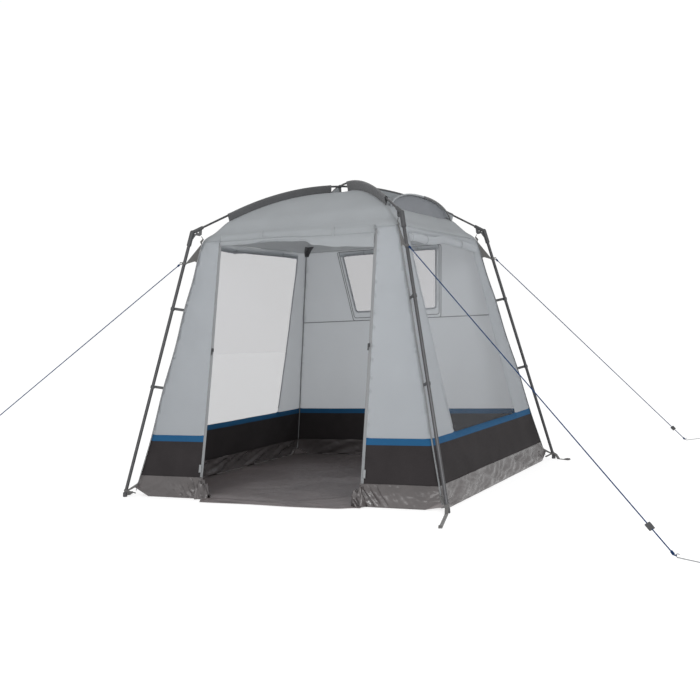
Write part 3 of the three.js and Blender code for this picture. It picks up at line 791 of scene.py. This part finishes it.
def hood_point(s, t):
    """s runs across the hood, t from the face back up the roof."""
    x = lerp(HOOD_X, HOOD_BACK, t)
    half = HOOD_HALF * lerp(1, HOOD_BACK_SHARE, t)
    y = lerp(-half, half, s)
    front = HOOD_BASE_Z + hood_crest(lerp(-HOOD_HALF, HOOD_HALF, s))
    skin = roof_height(x, y) + 0.004
    run = lerp(front, max(front + 0.012, skin), t)
    z = lerp(run, skin, smoothstep(t * 1.1 - 0.1) if t > 0.1 else 0)
    z += 0.003 * noise.noise(Vector((x * 9, y * 7, 3.3))) * math.sin(math.pi * t)
    return Vector((x, y, max(z, skin)))


hood = grid_sheet("hood_cloth", HOOD_COLUMNS, 20, hood_point, "roof")
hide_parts("vent_hood")


def vent_point(s, t):
    """The mesh face, set back under the hood's edge and bowed inwards."""
    y = lerp(-HOOD_HALF + 0.004, HOOD_HALF - 0.004, s)
    x = HOOD_X - 0.012 - 0.012 * math.sin(math.pi * t)
    top = HOOD_BASE_Z + hood_crest(y) - 0.004
    bottom = min(roof_height(HOOD_X - 0.012, y) - 0.002, top)
    return Vector((x, y, lerp(bottom, top, t)))


vent = grid_sheet("vent_screen", HOOD_COLUMNS, 8, vent_point, "vent", thickness=0.0005)
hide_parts("vent_mesh")

# the hood's edge: a hem in the roof cloth on its front half, a dark binding on its back half
HEM_END = 32
edge_ys = [lerp(-HOOD_HALF, HOOD_HALF, i / HOOD_COLUMNS) for i in range(HOOD_COLUMNS + 1)]
edge = [Vector((HOOD_X + 0.001, y, HOOD_BASE_Z + hood_crest(y))) for y in edge_ys]
sweep("hood_edge_hem", edge[:HEM_END + 1], band(0.010, 0.004), "roof", up_hint=Vector((1, 0, 0)))
sweep("hood_edge_binding", edge[HEM_END:], band(0.014, 0.005), "sleeve", up_hint=Vector((1, 0, 0)))


# ---- groundsheet ---------------------------------------------------------------------------------
CORNER_LIFT, CORNER_CUT = 0.055, 0.11


def ridge(x, y, seed):
    """Sharp creases: high along thin lines, low between them."""
    return 1 - abs(2 * noise.noise(Vector((x, y, seed))))


def corner_lift(x, y):
    """The foot straps lift the tub's corners off the ground."""
    return CORNER_LIFT * max(0.0, 1 - (2 * BASE_HALF - abs(x) - abs(y)) / CORNER_CUT)


def floor_relief(x, y):
    """Lumps of the floor, with a few long creases across them."""
    a, b = x * 0.8 + y * 0.6, y * 0.8 - x * 0.6
    lumps = 0.010 * (noise.noise(Vector((x * 1.6, y * 1.6, 0.4))) + 0.6)
    lumps += 0.010 * max(ridge(a * 1.1, b * 2.2, 5.5) - 0.55, 0)
    lumps += 0.004 * max(ridge(a * 2.6 + 3, b * 1.6, 9.1) - 0.5, 0)
    return lumps + 0.002


def floor_point(s, t):
    """The floor, flat where it meets the tub's edge."""
    half = BASE_HALF - 0.002
    x, y = lerp(-half, half, s), lerp(-half, half, t)
    rim = min(half - abs(x), half - abs(y))
    z = lerp(0.003, floor_relief(x, y), smoothstep(rim / 0.1))
    return Vector((x, y, z + corner_lift(x, y)))


def tub_side_point(side, s, t):
    """The upright edge of the tub; t 0 at the ground, 1 at the seam."""
    z = lerp(0.002, TUB_Z + 0.006, t)
    half = BASE_HALF - WALL_LEAN * z
    x = lerp(-half - 0.001, half + 0.001, s)
    u = x / half
    along = x * 7 + 20 * side
    crease = 0.010 * noise.noise(Vector((along * 0.7, z * 10 - x * 3, 1.1)))
    crease += 0.015 * (ridge(along * 0.9 + z * 17, z * 5, 7.7) - 0.6)
    crease += 0.008 * (ridge(along * 1.6 - z * 24, z * 7, 3.2) - 0.6)
    bulge = 0.010 * math.sin(math.pi * t)
    fade = smoothstep((1 - abs(u)) / 0.04) * smoothstep((1 - t) / 0.2) * smoothstep(t / 0.12)
    if side == 0:
        # slanting folds where the tub turns over into the doorway
        off_jamb = abs(x) - DOOR_HALF
        swing = off_jamb + 0.75 * (TUB_Z - z) * (1 if x < 0 else -1)
        depth = 0.020 * math.exp(-abs(off_jamb - 0.06) / 0.10)
        crease += depth * math.sin(swing * 130) * abs(math.sin(swing * 41 + 1))
    sewn = wall_relief(side, x, z) * smoothstep((1 - abs(u)) / 0.12) + 0.002 * smoothstep((t - 0.85) / 0.15)
    out = (crease + bulge) * fade + sewn * smoothstep((t - 0.4) / 0.5)
    point = turned(side, (x, -half - out, z))
    point.z += corner_lift(x, half) * (1 - t)
    return point


# the floor and the lip take the lighter copy of the film, the tub's edges and the gathers the darker one:
# painted light on the flat film and painted shade on the upright film
floor = grid_sheet("groundsheet_floor", 120, 120, floor_point, "floor")
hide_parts("groundsheet")
TUB_ROWS = 14
for side, word in ((1, "right"), (2, "back"), (3, "left")):
    grid_sheet(f"tub_edge_{word}", 260, TUB_ROWS,
                                lambda s, t, k=side: tub_side_point(k, s, t), "groundsheet")
share = (BASE_HALF - DOOR_HALF) / (2 * BASE_HALF)
for word, low in (("front_left", 0.0), ("front_right", 1 - share)):
    grid_sheet(f"tub_edge_{word}", 90, TUB_ROWS,
                                lambda s, t, a=low: tub_side_point(0, a + s * share, t), "groundsheet")


def lip_point(s, t):
    """The tub's front edge folded out flat in the doorway."""
    x = lerp(lerp(-DOOR_HALF, LIP_LEFT, t), LIP_RIGHT, s)
    deep = LIP_DEEP + 0.012 * noise.noise(Vector((x * 3, 0, 0))) - 0.05 * smoothstep((x - 0.46) / 0.12)
    y = -BASE_HALF + 0.02 - t * deep
    rise = 0.014 * max(ridge(x * 5 + y * 3, y * 9, 2.2) - 0.4, 0) * math.sin(math.pi * min(t + 0.1, 1))
    return Vector((x, y, 0.004 + rise))


BUNCH_AT, BUNCH_HALF = 0.565, 0.05
BUNCH_DEEP, BUNCH_TALL, BUNCH_TALLEST = 0.045, 0.095, 0.128


def bunch_point(x_at, seed):
    """A gather of groundsheet film heaped at a jamb's foot."""
    def shape(s, t):
        x = x_at + BUNCH_HALF * (s - 0.5) * 2
        around = math.pi * t
        swell = 1 + 0.5 * noise.noise(Vector((s * 3 + seed, t * 5, seed)))
        swell += 0.6 * (ridge(s * 4 + seed + t * 3, t * 3, seed * 2) - 0.6)
        end = math.sin(math.pi * min(max(s, 0.02), 0.98)) ** 0.5
        return Vector((x, -BASE_HALF + 0.012 - BUNCH_DEEP * math.cos(around) * swell * end,
                       0.004 + min(BUNCH_TALL * swell * end, BUNCH_TALLEST) * math.sin(around)))
    return shape


lip = grid_sheet("tub_edge_doorway", 110, TUB_ROWS, lip_point, "floor")
bunches = [grid_sheet(f"film_gather_{word}", 26, 26, bunch_point(x_at, seed), "groundsheet")
           for word, x_at, seed in (("left", -BUNCH_AT, 4.0), ("right", BUNCH_AT, 7.0))]

# a small moulded tab at each jamb's foot, which the closed door hooks over
TAB_LOW_Z, TAB_TOP_Z, TAB_STEPS = 0.165, 0.215, 6
for word, sign in (("left", -1), ("right", 1)):
    tab_path = [wall_point(0, sign * (DOOR_HALF + 0.012), lerp(TAB_LOW_Z, TAB_TOP_Z, i / TAB_STEPS), 0.005)
                for i in range(TAB_STEPS + 1)]
    sweep(f"door_tab_{word}", tab_path, band(0.018, 0.006), "tab",
          up_hint=turned(0, (0, -1, WALL_LEAN)).normalized())


# ---- rolled door and window covers ---------------------------------------------------------------
ROLL_COLUMNS, ROLL_ROWS = 90, 24


def roll(name, side, x0, x1, line, tall, deep, standing, mat, seed):
    """Cloth rolled up along the head of an opening, loosely tied so that it swells between its ties.
    tall and deep are its half sizes, and standing is how far its middle stands off the wall."""
    def shape(s, t):
        x = lerp(x0, x1, s)
        swell = 1 + 0.13 * noise.noise(Vector((x * 4 + seed, 0, 0)))
        angle = 2 * math.pi * t
        lumps = 1 + 0.07 * noise.noise(Vector((x * 7 + seed, 1.5 * math.cos(angle), 1.5 * math.sin(angle))))
        out = turned(side, (0, -1, 0)) * (standing + deep * swell * lumps * math.cos(angle))
        rise = Vector((0, 0, tall * swell * lumps * math.sin(angle)))
        return wall_point(side, x, line(x)) + out + rise
    return close_ends(grid_sheet(name, ROLL_COLUMNS, ROLL_ROWS, shape, mat, thickness=0))


def close_ends(obj):
    """Caps a roll's open ends with rings that narrow to a flat middle."""
    mesh = obj.data
    points = [v.co.copy() for v in mesh.vertices]
    faces = [tuple(p.vertices) for p in mesh.polygons]
    for end in (0, ROLL_COLUMNS):
        ring = [j * (ROLL_COLUMNS + 1) + end for j in range(ROLL_ROWS)]
        centre = sum((points[i] for i in ring), Vector()) / len(ring)
        previous = ring
        for shrink in (0.7, 0.35):
            start = len(points)
            points += [centre.lerp(points[i], shrink) for i in ring]
            new = list(range(start, start + ROLL_ROWS))
            for k in range(ROLL_ROWS):
                m = (k + 1) % ROLL_ROWS
                face = (previous[k], previous[m], new[m], new[k])
                faces.append(face if end else tuple(reversed(face)))
            previous = new
        faces.append(tuple(previous) if end else tuple(reversed(previous)))
    new_mesh = bpy.data.meshes.new(mesh.name)
    new_mesh.from_pydata(points, [], faces)
    for mat in mesh.materials:
        new_mesh.materials.append(mat)
    new_mesh.polygons.foreach_set("use_smooth", [True] * len(new_mesh.polygons))
    obj.data = new_mesh
    return obj


TIE_GAP, TIE_STEPS = 0.003, 28


def tie_round(name, side, x, z, tall, deep, standing):
    """A cloth tie round a roll."""
    base = wall_point(side, x, z)
    normal = turned(side, (0, -1, 0))
    tall, deep = tall + TIE_GAP, deep + TIE_GAP
    path = [base + normal * (standing + deep * math.cos(a)) + Vector((0, 0, tall * math.sin(a)))
            for a in (2 * math.pi * i / TIE_STEPS for i in range(TIE_STEPS))]
    return sweep(name, path, band(0.012, 0.0022), "roof", closed_path=True,
                 up_hint=lambda p: (p - base - normal * standing).normalized())


# heights of the door's roll and of its loose edge across the doorway, as (x, z)
DOOR_ROLL_LINE = ((-DOOR_HALF, 1.690), (-0.30, 1.688), (-0.10, 1.686), (0.10, 1.674), (0.30, 1.668),
                  (DOOR_HALF, 1.664))
LOOSE_EDGE = ((-DOOR_HALF, 1.652), (-0.33, 1.648), (-0.24, 1.657), (0.07, 1.637), (0.15, 1.602),
              (0.33, 1.580), (DOOR_HALF, 1.560))


def along_line(line, x):
    for (x0, z0), (x1, z1) in zip(line, line[1:]):
        if x <= x1:
            return lerp(z0, z1, smoothstep((x - x0) / (x1 - x0)))
    return line[-1][1]


ROLL_TALL, ROLL_DEEP, ROLL_STANDS = 0.036, 0.014, -0.004
door_roll = roll("rolled_door", 0, -DOOR_HALF + 0.006, DOOR_HALF - 0.006,
                 lambda x: along_line(DOOR_ROLL_LINE, x), ROLL_TALL, ROLL_DEEP, ROLL_STANDS, "roof", 3.0)
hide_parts("door_roll")


def loose_point(s, t):
    """The door's free edge, which has slipped out of the roll and hangs below it."""
    x = lerp(-DOOR_HALF + 0.004, DOOR_HALF - 0.004, s)
    z = lerp(along_line(DOOR_ROLL_LINE, x) - 0.01, along_line(LOOSE_EDGE, x), t)
    wave = 0.004 * noise.noise(Vector((x * 5, z * 8, 6.1))) + 0.003 * math.sin(x * 17) * t
    return wall_point(0, x, z, 0.006 + 0.006 * math.sin(math.pi * min(t * 1.2, 1)) + wave)


loose = grid_sheet("door_loose_edge", 90, 12, loose_point, "roof")
for i, x in enumerate((-0.25, 0.283, 0.55)):
    tie_round(f"door_tie_{i + 1}", 0, x, along_line(DOOR_ROLL_LINE, x), ROLL_TALL, ROLL_DEEP, ROLL_STANDS)

# the window covers: side, half length, height, how far they wave up and down, and half thickness
COVERS = {
    "right": (1, 0.60, 1.627, 0.010, 0.026),
    "back": (2, 0.42, 1.662, 0.004, 0.017),
    "left": (3, 0.60, 1.662, 0.006, 0.017),
}
COVER_STANDS = 0.012


def cover_z(x, side, z, wave):
    return z + wave * math.sin(x * 6.5 + side) + wave * 0.5 * math.sin(x * 15 + 2 * side)


for word, (side, x_half, z, wave, tall) in COVERS.items():
    deep = 0.75 * tall
    line = partial(cover_z, side=side, z=z, wave=wave)
    roll(f"rolled_cover_{word}", side, -x_half, x_half, line, tall, deep, COVER_STANDS, "canopy", side * 5.0)
    for i, x in enumerate((-0.6 * x_half, 0.5 * x_half)):
        tie_round(f"cover_tie_{word}_{i + 1}", side, x, line(x), tall, deep, COVER_STANDS)


# ---- floor and light -----------------------------------------------------------------------------
GROUND_SIZE, GROUND_Z = 80, -0.001
LIT_STRENGTH, SEEN_STRENGTH = 0.85, 1.02  # the surroundings, as a light and as the camera sees them
ground_mesh = bpy.data.meshes.new("ground")
ground_corners = [(x * GROUND_SIZE, y * GROUND_SIZE, GROUND_Z)
                  for x, y in ((-0.5, -0.5), (0.5, -0.5), (0.5, 0.5), (-0.5, 0.5))]
ground_mesh.from_pydata(ground_corners, [], [(0, 1, 2, 3)])
ground = bpy.data.objects.new("ground", ground_mesh)
bpy.context.scene.collection.objects.link(ground)
ground_mat = bpy.data.materials.new("studio_floor")
ground_mat.use_nodes = True
ground_bsdf = ground_mat.node_tree.nodes["Principled BSDF"]
ground_bsdf.inputs["Base Color"].default_value = (0.35, 0.35, 0.35, 1)
ground_bsdf.inputs["Roughness"].default_value = 0.9
ground_bsdf.inputs["Emission Color"].default_value = (1, 1, 1, 1)
ground_bsdf.inputs["Emission Strength"].default_value = 0.72
ground_mesh.materials.append(ground_mat)

world = bpy.data.worlds.new("studio")
bpy.context.scene.world = world
world.use_nodes = True
wn, wl = world.node_tree.nodes, world.node_tree.links
wn.clear()
lit = wn.new("ShaderNodeBackground")
lit.inputs["Color"].default_value = (1, 1, 1, 1)
lit.inputs["Strength"].default_value = LIT_STRENGTH
seen = wn.new("ShaderNodeBackground")
seen.inputs["Color"].default_value = (1, 1, 1, 1)
seen.inputs["Strength"].default_value = SEEN_STRENGTH
path_info = wn.new("ShaderNodeLightPath")
choose = wn.new("ShaderNodeMixShader")
world_out = wn.new("ShaderNodeOutputWorld")
wl.new(path_info.outputs["Is Camera Ray"], choose.inputs["Fac"])
wl.new(lit.outputs["Background"], choose.inputs[1])
wl.new(seen.outputs["Background"], choose.inputs[2])
wl.new(choose.outputs["Shader"], world_out.inputs["Surface"])


def area_light(name, at, aim, size, power):
    data = bpy.data.lights.new(name, "AREA")
    data.energy, data.size = power, size
    light = bpy.data.objects.new(name, data)
    aimed = (Vector(aim) - Vector(at)).to_track_quat("-Z", "Y")
    light.matrix_world = Matrix.Translation(at) @ aimed.to_matrix().to_4x4()
    bpy.context.scene.collection.objects.link(light)


area_light("key", at=(5.5, -6.5, 3.6), aim=(0, 0, 1.0), size=2.2, power=260)
area_light("front", at=(0.5, -7.5, 1.6), aim=(0, 0, 1.2), size=3.0, power=90)
bpy.context.scene.view_settings.view_transform = "Standard"
